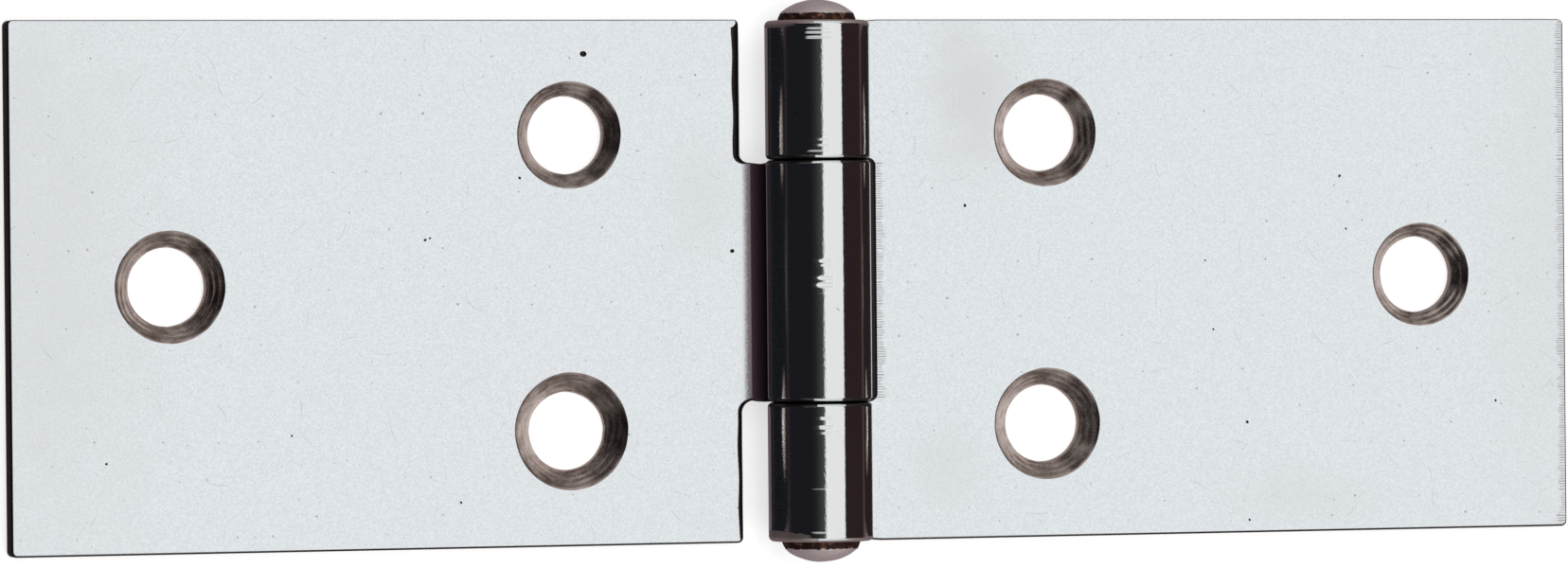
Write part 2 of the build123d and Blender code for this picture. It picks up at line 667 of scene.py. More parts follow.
class Shell:
    """A closed surface, gathered as points that each bring their own normal."""

    def __init__(self) -> None:
        """Starts with no points and no faces."""
        self.points: list[Vector] = []
        self.normals: list[Vector] = []
        self.faces: list[tuple[int, ...]] = []
        self.finishes: list[int] = []

    def row(self, samples: Iterable[Sample]) -> list[int]:
        """Adds a row of points.

        Args:
            samples: A place in millimetres and a normal for each point.

        Returns:
            The numbers of the points.
        """
        start = len(self.points)
        for place, normal in samples:
            self.points.append(place * MM)
            self.normals.append(normal.normalized())
        return list(range(start, len(self.points)))

    def bridge(self, one: Sequence[int], other: Sequence[int], finish: Finish, closed: bool = False) -> None:
        """Joins two rows of as many points each by a strip of quads.

        Args:
            one: The first row.
            other: The second row.
            finish: The finish of the strip.
            closed: Whether the rows are rings.
        """
        count = len(one)
        for i in range(count if closed else count - 1):
            j = (i + 1) % count
            self.faces.append((one[i], one[j], other[j], other[i]))
            self.finishes.append(finish.value)

    def cover(self, loops: Sequence[Sequence[int]], finish: Finish) -> None:
        """Fills a flat outline, less the outlines inside it.

        Args:
            loops: The outer outline and then the inner ones.
            finish: The finish of the fill.
        """
        numbers = [i for loop in loops for i in loop]
        upright = plane_normal([self.points[i] for i in loops[0]])
        across = upright.orthogonal().normalized()
        along = upright.cross(across)
        flat = [Vector((self.points[i].dot(across), self.points[i].dot(along))) / MM for i in numbers]
        outlines: list[list[int]] = []
        for loop in loops:
            start = sum(len(outline) for outline in outlines)
            outlines.append(list(range(start, start + len(loop))))
        filled = delaunay_2d_cdt(flat, [], outlines, TRIANGLES_WITH_HOLES, FILL_TOLERANCE)
        triangles, sources = filled[2], filled[3]
        for triangle in triangles:
            self.faces.append(tuple(numbers[sources[i][0]] for i in triangle))
            self.finishes.append(finish.value)

    def build(self, name: str, materials: Sequence[bpy.types.Material]) -> bpy.types.Object:
        """Makes the object from what was gathered.

        Args:
            name: The object's name.
            materials: The materials in the order of the finishes.

        Returns:
            The object, in place in the frame.
        """
        mesh = bpy.data.meshes.new(name)
        mesh.from_pydata(self.points, [], self.faces)
        for material in materials:
            mesh.materials.append(material)
        mesh.polygons.foreach_set("material_index", self.finishes)
        shaped = bmesh.new()
        shaped.from_mesh(mesh)
        bmesh.ops.recalc_face_normals(shaped, faces=shaped.faces)
        open_edges = sum(1 for edge in shaped.edges if not edge.is_manifold)
        shaped.to_mesh(mesh)
        shaped.free()
        mesh.polygons.foreach_set("use_smooth", [True] * len(mesh.polygons))
        mesh.normals_split_custom_set_from_vertices(self.normals)
        mesh.update()
        made = new_object(name, mesh)
        log.info("%s: %d faces, %d open edges", name, len(mesh.polygons), open_edges)
        return made


@dataclass(frozen=True)
class EdgeForm:
    """The form of a cut edge, from the face to the back: a rolled-over shoulder, a wall and a small round."""

    thickness: float
    shoulder_depth: float = 0.16
    wide_depth_share: float = 0.25
    foot: float = 0.14
    steps: int = 6
    bright_steps: int = 1

    def profile(self, shoulder: float) -> list[tuple[float, float, float, float]]:
        """Points down the edge.

        Args:
            shoulder: How far the rolled-over shoulder reaches in from the wall.

        Returns:
            For each point its inset from the wall, its height over the back, and its normal outwards and up.
        """
        rows = []
        depth = self.shoulder_depth + (shoulder - self.shoulder_depth) * self.wide_depth_share
        for i in range(self.steps + 1):
            turn = i / self.steps * pi / 2
            inset = shoulder * (1 - sin(turn))
            height = self.thickness - depth * (1 - cos(turn))
            rows.append((inset, height, sin(turn) / shoulder, cos(turn) / depth))
        for i in range(self.steps + 1):
            turn = i / self.steps * pi / 2
            rows.append((self.foot * (1 - cos(turn)), self.foot * (1 - sin(turn)), cos(turn), -sin(turn)))
        return rows


@dataclass(frozen=True)
class Groove:
    """A fine groove that the rolling tool left round part of a knuckle."""

    place: float
    width: float
    depth: float
    start: float
    end: float
    fade: float = 2.5
    steepness: float = 2.5
    shares: tuple[float, ...] = (-1.4, -0.9, -0.5, -0.2, 0.0, 0.2, 0.5, 0.9, 1.4)

    def cut(self, along: float, turn: float) -> float:
        """How deep the groove is at a place.

        Args:
            along: The place along the pin.
            turn: The angle round the roll, from the leaf's back.

        Returns:
            The depth in millimetres.
        """
        across = (along - self.place) / self.width
        fade = 1 / (1 + exp(-(turn - self.start) / self.fade)) / (1 + exp((turn - self.end) / self.fade))
        return self.depth * exp(-across * across * self.steepness) * fade

    def stations(self) -> list[float]:
        """The places along the pin where the mesh needs a row for this groove."""
        return [self.place + self.width * share for share in self.shares]


def rounded_chain(
    corners: Sequence[tuple[float, float]], radii: Sequence[float], spacing: float
) -> list[Sample]:
    """Runs along straight stretches and rounded corners with the material on the left.

    Args:
        corners: The chain's ends and corners.
        radii: A radius for each corner between the ends.
        spacing: The largest step along a straight stretch.

    Returns:
        Points with their normals out of the material, both in the plane.
    """
    points = [Vector(corner) for corner in corners]
    bends: list[list[Sample]] = []
    for before, corner, after, radius in zip(points, points[1:], points[2:], radii):
        into, out = (corner - before).normalized(), (after - corner).normalized()
        turn = into.x * out.y - into.y * out.x
        angle = acos(max(-1.0, min(1.0, into.dot(out))))
        sign = 1 if turn > 0 else -1
        start = corner - into * (radius * sin(angle / 2) / cos(angle / 2))
        centre = start + Vector((-into.y, into.x)) * (radius * sign)
        steps = max(2, round(degrees(angle) / BEND_STEP))
        bend = []
        for i in range(steps + 1):
            swing = Matrix.Rotation(sign * angle * i / steps, 2)
            outward = swing @ Vector((into.y, -into.x))
            bend.append((centre + outward * (radius * sign), outward))
        bends.append(bend)
    first = (points[1] - points[0]).normalized()
    last = (points[-1] - points[-2]).normalized()
    ends = [[(points[0], Vector((first.y, -first.x)))], [(points[-1], Vector((last.y, -last.x)))]]
    chain: list[Sample] = []
    for stretch in [ends[0], *bends, ends[1]]:
        if chain:
            start, end = chain[-1][0], stretch[0][0]
            steps = max(1, round((end - start).length / spacing))
            chain += [(start.lerp(end, i / steps), stretch[0][1]) for i in range(1, steps)]
        chain += stretch
    return chain


@dataclass
class Countersink:
    """A screw hole with its cone, a slightly chattered cut and a broken rim."""

    centre: tuple[float, float]
    bore_radius: float
    mouth_radius: float
    chatter: float
    rough_side: float
    thickness: float
    lip: float = 0.03
    foot: float = 0.08
    chatter_pitch: float = 0.31
    chatter_shift: float = 5.0
    least_chatter: float = 0.3
    out_of_round: float = 0.045
    fine_share: float = 0.35
    cone_steps: int = 16
    count: int = 120

    def chattered(self, radius: float, turn: float) -> float:
        """How far the cone's wall stands out at a place.

        Args:
            radius: The distance from the hole's axis.
            turn: The angle round it, in radians.

        Returns:
            The height of the wall there, in millimetres.
        """
        share = (radius - self.bore_radius) / (self.mouth_radius - self.bore_radius)
        hold = max(0.0, share * (1 - share) * 4)
        seed = self.mouth_radius * 7.7
        reach = noise.noise(Vector((cos(turn) * 1.3, sin(turn) * 1.3, seed))) * 0.5 + 0.5
        facing = cos((turn - radians(self.rough_side)) / 2) ** 2
        reach *= self.least_chatter + (1 - self.least_chatter) * facing
        shift = noise.noise(Vector((cos(turn), sin(turn), seed + 7))) * self.chatter_shift
        wave = sin(radius * 2 * pi / self.chatter_pitch + shift)
        return self.chatter * hold * reach * wave

    def wander(self, turn: float) -> float:
        """How far the hole is out of round at an angle round it, in millimetres."""
        wide = noise.noise(Vector((cos(turn) * 0.9, sin(turn) * 0.9, self.mouth_radius * 3.1)))
        fine = noise.noise(Vector((cos(turn) * 5.0, sin(turn) * 5.0, self.mouth_radius * 5.3)))
        return self.out_of_round * (wide + fine * self.fine_share)

    def plain(self, radius: float, height: float, turn: float) -> tuple[float, float]:
        """The radius and the height of a level ring at an angle round it."""
        return radius + self.wander(turn), height

    def cone(self, radius: float, turn: float) -> tuple[float, float]:
        """The radius and the height of a ring on the cone at an angle round it."""
        out = self.chattered(radius, turn) / sqrt(2)
        return radius - out + self.wander(turn), self.thickness - self.mouth_radius + radius + out

    def rings(self) -> list[tuple[Ring, Finish]]:
        """The rings of the hole from the face to the back.

        Returns:
            Each ring with the finish of the strip that follows it.
        """
        drop = self.mouth_radius - self.bore_radius
        wall_top = self.thickness - drop
        rings: list[tuple[Ring, Finish]] = []
        for share in (1.0, 0.6, 0.25):
            height = self.thickness - self.lip * (1 - share) ** 2 * 0.6
            radius = self.mouth_radius + self.lip * share
            rings.append((partial(self.plain, radius, height), Finish.COUNTERSUNK))
        for i in range(1, self.cone_steps):
            radius = self.mouth_radius - drop * i / self.cone_steps
            rings.append((partial(self.cone, radius), Finish.COUNTERSUNK))
        walls = [(0.03, wall_top + 0.03), (0.0, wall_top - 0.04), (0.0, self.foot)]
        walls += [(self.foot * 0.3, self.foot * 0.3), (self.foot, 0.0)]
        for out, height in walls:
            radius = self.bore_radius + out
            rings.append((partial(self.plain, radius, height), Finish.SHEARED))
        return rings


@dataclass
class Pit:
    """A small pit in a leaf's face, whose rings are shares of its radius and depth with the wall's slope."""

    across: float
    along: float
    radius: float
    depth: float
    rings: tuple[tuple[float, float, float], ...] = ((1.0, 0.0, 0.0), (0.7, 0.5, 1.2), (0.35, 1.0, 0.6))
    count: int = 12


@dataclass
class Leaf:
    """One leaf: a sheet with three screw holes whose tabs are rolled round the pin."""

    name: str
    side: Side
    body: str
    node: str
    end: float
    axis_height: float
    tabs: list[tuple[float, float]]
    chains: list[tuple[list[tuple[float, float]], list[float]]]
    holes: list[Countersink]
    pits: list[Pit] = field(default_factory=list)
    grooves: list[Groove] = field(default_factory=list)
    thickness: float = 1.5
    mouth_gap: float = 0.15
    shoulder: float = 0.16
    notch_shoulder: float = 0.74
    notch_from: float = 3.6
    knuckle_foot: float = 0.31
    # Between these turns round the roll the feet mirror the overhead light; outside them more of each foot is
    # painted dark.
    bright_feet: tuple[float, float] = (157.0, 190.0)
    dark_foot_steps: int = 3
    tip_round: float = 0.09
    tip_steps: int = 4
    turn_step: float = 2.5
    across_step: float = 0.5
    knuckle_step: float = 0.6
    least_step: float = 0.004

    def shell(self) -> Shell:
        """Gathers the leaf's whole surface.

        Returns:
            The closed shell.
        """
        made = Shell()
        form = EdgeForm(self.thickness)
        roots = [self.roll(made, form, tab) for tab in self.tabs]
        columns = {round(place, 3): column for root in roots for place, column in root["columns"].items()}
        top: list[int] = []
        bottom: list[int] = []
        for order, (corners, radii) in enumerate(self.chains):
            chain = self.edge(made, form, corners, radii, columns)
            top += [column[0] for column in chain]
            bottom += [column[-1] for column in chain]
            follows = roots[(order + 1) % len(roots)] if len(roots) > 1 else roots[0]
            inner = follows["bottom"]
            near, far = (abs(made.points[i].y / MM - corners[-1][1]) for i in (inner[0], inner[-1]))
            bottom += inner if near < far else inner[::-1]
        holes = [self.hole(made, hole) for hole in self.holes]
        pits = [self.pit(made, pit) for pit in self.pits]
        made.cover([top, *[ring[0] for ring in holes], *pits], Finish.FACE)
        made.cover([bottom, *[ring[1] for ring in holes]], Finish.FACE)
        return made

    def put(self, across: float, along: float, height: float) -> Vector:
        """A point by its distance from the pin's axis across the leaf, along the pin and over the back."""
        return Vector((across * self.side.value, along, height))

    def shoulder_at(self, across: float, along: float, outward: Vector) -> float:
        """How wide the rolled-over shoulder is at a place of the outline.

        Args:
            across: The distance from the pin's axis.
            along: The place along the pin.
            outward: The outline's normal.

        Returns:
            The width, which is largest on the left leaf's notch edges.
        """
        plain = self.shoulder * (0.75 - 0.3 * outward.y)
        if self.side is Side.RIGHT or across <= self.notch_from:
            return plain
        facing_pin = max(0.0, -outward.x) ** 2
        wide = 0.72 + 0.28 * along / self.end + 0.08 * sin(along * 1.7)
        return plain + (self.notch_shoulder - plain) * facing_pin * wide

    def edge(
        self,
        made: Shell,
        form: EdgeForm,
        corners: Sequence[tuple[float, float]],
        radii: Sequence[float],
        columns: dict[float, list[int]],
    ) -> list[list[int]]:
        """The cut edge along a chain of the outline.

        Args:
            made: The shell to add to.
            form: The form of the cut edge.
            corners: The chain's ends and corners.
            radii: The corners' radii.
            columns: The rolled tabs' own columns at their roots, by their place along the pin.

        Returns:
            The columns of points down the edge, in the chain's order.
        """
        chain = rounded_chain(corners, radii, self.across_step)
        found = [columns[round(chain[0][0].y, 3)]]
        for point, outward in chain[1:-1]:
            width = self.shoulder_at(point.x, point.y, outward)
            samples = []
            for inset, height, out, up in form.profile(width):
                inner = point - outward * inset
                normal = self.put(outward.x * out, outward.y * out, up)
                samples.append((self.put(inner.x, inner.y, height), normal))
            found.append(made.row(samples))
        found.append(columns[round(chain[-1][0].y, 3)])
        bright = form.bright_steps
        for one, other in zip(found, found[1:]):
            made.bridge(one[: bright + 1], other[: bright + 1], Finish.FACE)
            made.bridge(one[bright:], other[bright:], Finish.SHEARED)
        return found

    def roll(self, made: Shell, form: EdgeForm, tab: tuple[float, float]) -> dict[str, Any]:
        """A tab rolled round the pin, from its root in the flat sheet to its tip.

        Args:
            made: The shell to add to.
            form: The form of the cut edge.
            tab: The tab's lower and upper end along the pin.

        Returns:
            The root's columns of points by their place along the pin, and the root's points on the back.
        """
        low, high = tab
        form = replace(form, foot=self.knuckle_foot)
        profile = form.profile(self.shoulder)
        stations = self.stations(low + form.foot, high - form.foot)
        radius = self.axis_height
        last_turn = 360 - degrees(acos(1 - (self.thickness + self.mouth_gap) / radius))
        section: list[tuple[float, float, float, float]] = []
        section += [(low + inset, height, -out, up) for inset, height, out, up in profile]
        section += [(station, 0.0, 0.0, -1.0) for station in stations]
        section += [(high - inset, height, out, up) for inset, height, out, up in reversed(profile)]
        count = len(profile)
        steps = round(last_turn / self.turn_step)
        turns = [last_turn * i / steps for i in range(steps)]
        rows = [made.row(self.turned(section, turn, 0.0, 0.0)) for turn in turns]
        for i in range(self.tip_steps + 1):
            swing = i / self.tip_steps * pi / 2
            back = degrees(self.tip_round * (1 - sin(swing)) / radius)
            inset = self.tip_round * (1 - cos(swing))
            rows.append(made.row(self.turned(section, last_turn - back, inset, swing)))
        # Outside the bright_feet turns more of each knuckle foot takes the sheared edge's near-black colour,
        # a painted shade.
        for turn, one, other in zip(turns + [last_turn] * self.tip_steps, rows, rows[1:]):
            bright = self.bright_feet[0] < turn < self.bright_feet[1]
            steps_in = form.steps - self.dark_foot_steps if bright else 1
            made.bridge(one[: count - steps_in], other[: count - steps_in], Finish.SHEARED)
            middle = slice(count - steps_in - 1, len(section) - count + steps_in + 1)
            made.bridge(one[middle], other[middle], Finish.ROLLED)
            tail = slice(len(section) - count + steps_in, len(section))
            made.bridge(one[tail], other[tail], Finish.SHEARED)
            made.bridge([one[-1], one[0]], [other[-1], other[0]], Finish.ROLLED)
        made.cover([rows[-1]], Finish.SHEARED)
        first = rows[0]
        return {
            "columns": {low: first[:count], high: first[len(section) - count:][::-1]},
            "bottom": first[count: len(section) - count],
        }

    def stations(self, low: float, high: float) -> list[float]:
        """The places along the pin where a knuckle has a row of points.

        Args:
            low: The lower end of the knuckle's plain surface.
            high: Its upper end.

        Returns:
            The places between those ends, from the lower to the upper.
        """
        count = round((high - low) / self.knuckle_step)
        places = [low + (high - low) * i / count for i in range(1, count)]
        places += [place for groove in self.grooves for place in groove.stations()]
        kept: list[float] = []
        for place in sorted(place for place in places if low + 0.01 < place < high - 0.01):
            if not kept or place - kept[-1] > self.least_step:
                kept.append(place)
        return kept

    def turned(
        self, section: Sequence[tuple[float, float, float, float]], turn: float, inset: float, tip: float
    ) -> list[Sample]:
        """The tab's section at an angle round the pin.

        Args:
            section: The place along the pin, the height over the sheet's back, and the normal along and up.
            turn: The angle from the root, in degrees.
            inset: How far the section is drawn in all round.
            tip: How far the normals lean to the tip, in radians.

        Returns:
            Places and normals round the section.
        """
        angle = radians(turn)
        samples = []
        for along, height, out, up in section:
            size = hypot(out, up)
            out, up = out / size, up / size
            cut = along_slope = round_slope = 0.0
            outside = up < -0.9
            if outside:
                cut = self.groove_depth(along, turn)
                along_slope = (self.groove_depth(along + SLOPE_STEP, turn) - cut) / SLOPE_STEP
                onward_cut = self.groove_depth(along, turn + SLOPE_STEP)
                round_slope = (onward_cut - cut) / radians(SLOPE_STEP) / self.axis_height
            distance = self.axis_height - height + up * inset - cut
            rise = self.axis_height - distance * cos(angle)
            place = self.put(-distance * sin(angle), along - out * inset, rise)
            radial = self.put(-sin(angle), 0.0, -cos(angle))
            onward = self.put(-cos(angle), 0.0, sin(angle))
            normal = radial * -up + Vector((0.0, out + along_slope, 0.0)) + onward * round_slope
            samples.append((place, normal.normalized() * cos(tip) + onward * sin(tip)))
        return samples

    def groove_depth(self, along: float, turn: float) -> float:
        """How deep the rolling tool's grooves are at a place along the pin and an angle round it."""
        return sum(groove.cut(along, turn) for groove in self.grooves)

    def hole(self, made: Shell, hole: Countersink) -> tuple[list[int], list[int]]:
        """A screw hole from the face to the back.

        Args:
            made: The shell to add to.
            hole: The hole's sizes.

        Returns:
            Its ring on the face and its ring on the back.
        """
        rings = hole.rings()
        turns = [2 * pi * i / hole.count for i in range(hole.count)]
        previous: list[int] = []
        first: list[int] = []
        for order, (ring, finish) in enumerate(rings):
            samples = []
            for turn in turns:
                radius, height = ring(turn)
                before = rings[max(order - 1, 0)][0](turn)
                after = rings[min(order + 1, len(rings) - 1)][0](turn)
                rise, run = before[1] - after[1], before[0] - after[0]
                if order == 0:
                    rise, run = 0.0, 1.0
                if order == len(rings) - 1:
                    rise, run = 0.0, -1.0
                inward = Vector((-cos(turn), -sin(turn), 0.0))
                normal = inward * rise + Vector((0.0, 0.0, 1.0)) * run
                across, along = hole.centre
                place = self.put(across + radius * cos(turn), along + radius * sin(turn), height)
                normal.x *= self.side.value
                samples.append((place, normal))
            current = made.row(samples)
            if previous:
                made.bridge(previous, current, rings[order - 1][1], closed=True)
            else:
                first = current
            previous = current
        return first, previous

    def pit(self, made: Shell, pit: Pit) -> list[int]:
        """A small blind pit in the face.

        Args:
            made: The shell to add to.
            pit: Its place and size.

        Returns:
            Its ring on the face.
        """
        rings = []
        for share, drop, slope in pit.rings:
            samples = []
            for i in range(pit.count):
                turn = 2 * pi * i / pit.count
                radius = pit.radius * share * (1 + 0.1 * sin(turn * 2 + pit.along))
                inward = Vector((-cos(turn) * self.side.value, -sin(turn), 0.0))
                across, along = pit.across + radius * cos(turn), pit.along + radius * sin(turn)
                place = self.put(across, along, self.thickness - pit.depth * drop)
                samples.append((place, inward * slope + Vector((0.0, 0.0, 1.0))))
            rings.append(made.row(samples))
        # The pit's walls and floor take the sheared edge's near-black colour, a painted shade in the hollow.
        for one, other in zip(rings, rings[1:]):
            made.bridge(one, other, Finish.SHEARED, closed=True)
        made.cover([rings[-1]], Finish.SHEARED)
        return rings[0]

    def add(self, materials: Sequence[bpy.types.Material]) -> bpy.types.Object:
        """Makes the leaf, dresses it and lets it ride on its body in place of its solid.

        Args:
            materials: The materials in the order of the finishes.

        Returns:
            The leaf's object.
        """
        made = self.shell().build(self.name, materials)
        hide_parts(self.node)
        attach(made, self.body)
        log.info("%s rides on %s", self.name, self.body)
        return made


@dataclass
class Pin:
    """The pin: a rod with both ends riveted over into domed heads."""

    name: str
    body: str
    node: str
    axis_height: float
    radius: float
    head_start: float
    head_radius: float
    head_taper: float
    rim_end: float
    dome_end: float
    edge_round: float = 0.06
    rim_wear: float = 0.10
    fine_wear: float = 0.05
    skin_wear: float = 0.012
    wear_reach: float = 0.3
    dome_press: float = 0.03
    rim_steps: int = 5
    dome_steps: int = 15
    count: int = 96

    def outline(self) -> list[tuple[float, float]]:
        """Half the pin's outline.

        Returns:
            The place along the pin and the radius, from the middle to the top of the dome.
        """
        rim_radius = self.head_radius - self.head_taper
        start, edge = self.head_start, self.edge_round
        points = [(0.0, self.radius), (start - 0.01, self.radius), (start, self.radius + 0.02)]
        points += [(start, self.head_radius - edge), (start + edge / 3, self.head_radius - edge / 3)]
        points += [(start + edge, self.head_radius)]
        rise = self.rim_end - start
        steps = self.rim_steps
        for i in range(1, steps + 1):
            taper = self.head_taper * i / steps
            points.append((start + edge + (rise - edge) * i / steps, self.head_radius - taper))
        dome = self.dome_end - self.rim_end
        ball = (rim_radius ** 2 + dome ** 2) / (2 * dome)
        widest = asin(rim_radius / ball)
        for i in range(1, self.dome_steps):
            turn = widest * (1 - i / self.dome_steps)
            points.append((self.dome_end - ball * (1 - cos(turn)), ball * sin(turn)))
        return points

    def worn(self, along: float, radius: float, turn: float, top: bool) -> tuple[float, float]:
        """The outline's point with the marks of the riveting, which only take steel away.

        Args:
            along: The place along the pin.
            radius: The distance from its axis.
            turn: The angle round it, in radians.
            top: Whether this is the head at the upper end.

        Returns:
            The place along the pin and the radius after riveting.
        """
        if along < self.head_start:
            return along, radius
        seed = 3.0 if top else 11.0
        spot = Vector((cos(turn) * radius * 1.4, sin(turn) * radius * 1.4, along * 2 + seed))
        rough = noise.noise(spot) * 0.5 + 0.5
        fine = noise.noise(spot * 3.1) * 0.5 + 0.5
        on_rim = max(0.0, 1 - abs(along - self.rim_end) / self.wear_reach)
        cut = self.rim_wear * rough * on_rim + self.fine_wear * fine * on_rim + self.skin_wear * rough
        pressed = self.dome_press * rough if along > self.rim_end else 0.0
        return along - pressed, max(radius - cut, 0.0)

    def shell(self) -> Shell:
        """Gathers the pin's whole surface.

        Returns:
            The closed shell.
        """
        made = Shell()
        half = self.outline()
        rows = [(-along, radius, False) for along, radius in reversed(half)]
        rows += [(along, radius, True) for along, radius in half[1:]]
        grid = []
        for along, radius, top in rows:
            ring = []
            for i in range(self.count):
                turn = 2 * pi * i / self.count
                place, size = self.worn(abs(along), radius, turn, top)
                place = place if along >= 0 else -place
                ring.append(Vector((size * cos(turn), place, self.axis_height + size * sin(turn))))
            grid.append(ring)
        apexes = []
        for end in (-1, 1):
            place, _ = self.worn(self.dome_end, 0.0, 0.0, end > 0)
            apexes.append(Vector((0.0, end * place, self.axis_height)))
        rings = []
        for order, ring in enumerate(grid):
            samples = []
            for i, point in enumerate(ring):
                across = ring[(i + 1) % self.count] - ring[i - 1]
                before = grid[order - 1][i] if order else apexes[0]
                after = grid[order + 1][i] if order < len(grid) - 1 else apexes[1]
                normal = (after - before).cross(across)
                samples.append((point, normal if normal.length else Vector((0.0, 1.0, 0.0))))
            rings.append(made.row(samples))
        for one, other in zip(rings, rings[1:]):
            made.bridge(one, other, Finish.FACE, closed=True)
        for end, ring in ((-1, rings[0]), (1, rings[-1])):
            apex = made.row([(apexes[0] if end < 0 else apexes[1], Vector((0.0, end, 0.0)))])[0]
            for i in range(self.count):
                made.faces.append((ring[i], ring[(i + 1) % self.count], apex))
                made.finishes.append(Finish.FACE.value)
        return made

    def add(self, material: bpy.types.Material) -> bpy.types.Object:
        """Makes the pin, dresses it and lets it ride on its body in place of its solid.

        Args:
            material: The pin's material.

        Returns:
            The pin's object.
        """
        made = self.shell().build(self.name, [material])
        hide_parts(self.node)
        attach(made, self.body)
        log.info("%s rides on %s", self.name, self.body)
        return made


# The studio


@dataclass(frozen=True)
class Panel:
    """A soft rectangular light."""

    name: str
    place: tuple[float, float, float]
    aim: tuple[float, float, float]
    width: float
    length: float
    radiance: float
    in_reflections: bool = True

    def add(self) -> None:
        """Hangs the panel so that its length runs along the pin where it can."""
        light = bpy.data.lights.new(self.name, "AREA")
        light.shape = "RECTANGLE"
        light.size = self.width
        light.size_y = self.length
        light.energy = self.radiance * self.width * self.length * pi
        made = new_object(self.name, light)
        away = (Vector(self.place) - Vector(self.aim)).normalized()
        side = Vector((0.0, 1.0, 0.0)).cross(away)
        side = side.normalized() if side.length > 0.1 else Vector((1.0, 0.0, 0.0))
        along = away.cross(side)
        turned = Matrix((side, along, away)).transposed().to_4x4()
        turned.translation = Vector(self.place)
        made.matrix_world = turned
        made.visible_camera = False
        made.visible_glossy = self.in_reflections


@dataclass
class Studio:
    """The pale floor, the soft lights and the camera."""

    target: tuple[float, float, float] = (-1.70, -0.19, 1.5)
    distance: float = 504.4
    camera_lean: float = 17.54
    camera_rise: float = 0.33
    camera_roll: float = -0.517
    focal_pixels: float = 8702.0
    image_width: float = 1656.0
    sensor: float = 36.0
    floor_size: float = 6.0
    band_height: float = 0.9
    band_left: float = -6.5
    band_right: float = 37.5
    band_length: float = 1.1
    wash_size: float = 1.6
    wash_radiance: float = 0.5
    room_left: Colour = (0.013, 0.0125, 0.016)
    room_right: Colour = (0.030, 0.018, 0.019)
    glow_colour: Colour = (0.09, 0.088, 0.085)
    glow_reach: float = 44.0
    ends_low: Colour = (0.50, 0.49, 0.49)
    ends_high: Colour = (0.88, 0.89, 0.90)
    ends_rise: Step = (0.25, 0.35)
    ends_from: Step = (0.5, 0.1)
    corner_top: Step = (0.40, 0.06)
    corner_right: Step = (-0.2, 0.08)
    walls_top: Step = (0.62, 0.12)
    first_bounce: Step = (1.5, 0.1)
    horizon_white: float = 0.95

    def add(self) -> None:
        """Sets up the floor, the lights, the surround and the camera."""
        self.add_floor()
        for panel in self.panels():
            panel.add()
        self.add_surround()
        self.add_camera()
        bpy.context.scene.view_settings.view_transform = "Standard"

    def panels(self) -> list[Panel]:
        """The lights: one long band overhead, and a wash for the floor."""
        height, size = self.band_height, self.wash_size
        left, right = radians(self.band_left), radians(self.band_right)
        centre = height * (sin(left) / cos(left) + sin(right) / cos(right)) / 2
        width = height * (sin(right) / cos(right) - sin(left) / cos(left))
        over = Panel("overhead_band", (centre, 0.0, height), (centre, 0.0, 0.0), width, self.band_length, 1.0)
        wash = Panel("floor_wash", (0.0, 0.0, size), (0.0, 0.0, 0.0), size, size, self.wash_radiance, False)
        return [over, wash]

    def add_floor(self) -> None:
        """Lays the floor under the hinge."""
        half = self.floor_size / 2
        mesh = bpy.data.meshes.new("floor")
        corners = [(-half, -half, 0.0), (half, -half, 0.0), (half, half, 0.0), (-half, half, 0.0)]
        mesh.from_pydata(corners, [], [(0, 1, 2, 3)])
        mesh.materials.append(Paper().build())
        floor = new_object("floor", mesh)

    def add_surround(self) -> None:
        """A room with pale ends and dark sides, browner to the right, with a glow beside the overhead band.

        The camera itself sees it pale all round, behind the floor. The flat faces' clear coat, which is the
        only perfectly sharp mirror, sees pale walls at the sides too. The ends' low left corner is dark, for
        the countersinks.
        """
        world = bpy.data.worlds.new("room")
        world.use_nodes = True
        graph = Graph(world.node_tree)
        x, y, z = graph.axes(graph.node("ShaderNodeTexCoord", {}, {}, "Generated"))
        lean = graph.node("ShaderNodeMath", {"operation": "ARCTAN2"}, {0: x, 1: z}) * degrees(1.0)
        room = graph.mix(x.above(0.0, 0.2), self.room_left, self.room_right)
        half = self.glow_reach / 2
        beside = (lean + self.glow_reach).above(half, half) * lean.below(0.0, 5.0)
        room = graph.mix(beside ** 2.0, room, self.glow_colour)
        ends = graph.mix(z.above(*self.ends_rise), self.ends_low, self.ends_high)
        dark_corner = z.below(*self.corner_top) * x.below(*self.corner_right)
        room = graph.mix(abs(y).above(*self.ends_from) * (1.0 - dark_corner), room, ends)
        seen = graph.node("ShaderNodeLightPath", {}, {}, "Is Camera Ray")
        in_faces = seen.sibling("Is Singular Ray") * seen.sibling("Glossy Depth").below(*self.first_bounce)
        room = graph.mix(in_faces * z.below(*self.walls_top), room, ends)
        colour = graph.mix(seen, room, (self.horizon_white,) * 3)
        light = graph.node("ShaderNodeBackground", {}, {"Color": colour, "Strength": 1.0})
        graph.node("ShaderNodeOutputWorld", {}, {"Surface": light})
        bpy.context.scene.world = world

    def add_camera(self) -> None:
        """Sets the camera at the photograph's viewing angle."""
        lean, rise, roll = radians(self.camera_lean), radians(self.camera_rise), radians(self.camera_roll)
        back = Vector((-sin(lean) * cos(rise), sin(rise), cos(lean) * cos(rise)))
        right = Vector((0.0, 1.0, 0.0)).cross(back).normalized()
        up = back.cross(right)
        rolled_right = right * cos(roll) + up * sin(roll)
        rolled_up = up * cos(roll) - right * sin(roll)
        camera = bpy.data.cameras.new("camera")
        camera.sensor_width = self.sensor
        camera.lens = self.focal_pixels / self.image_width * self.sensor
        camera.clip_start, camera.clip_end = 0.05, 20.0
        made = new_object("camera", camera)
        turned = Matrix((rolled_right, rolled_up, back)).transposed().to_4x4()
        turned.translation = (Vector(self.target) + back * self.distance) * MM
        made.matrix_world = turned
        bpy.context.scene.camera = made


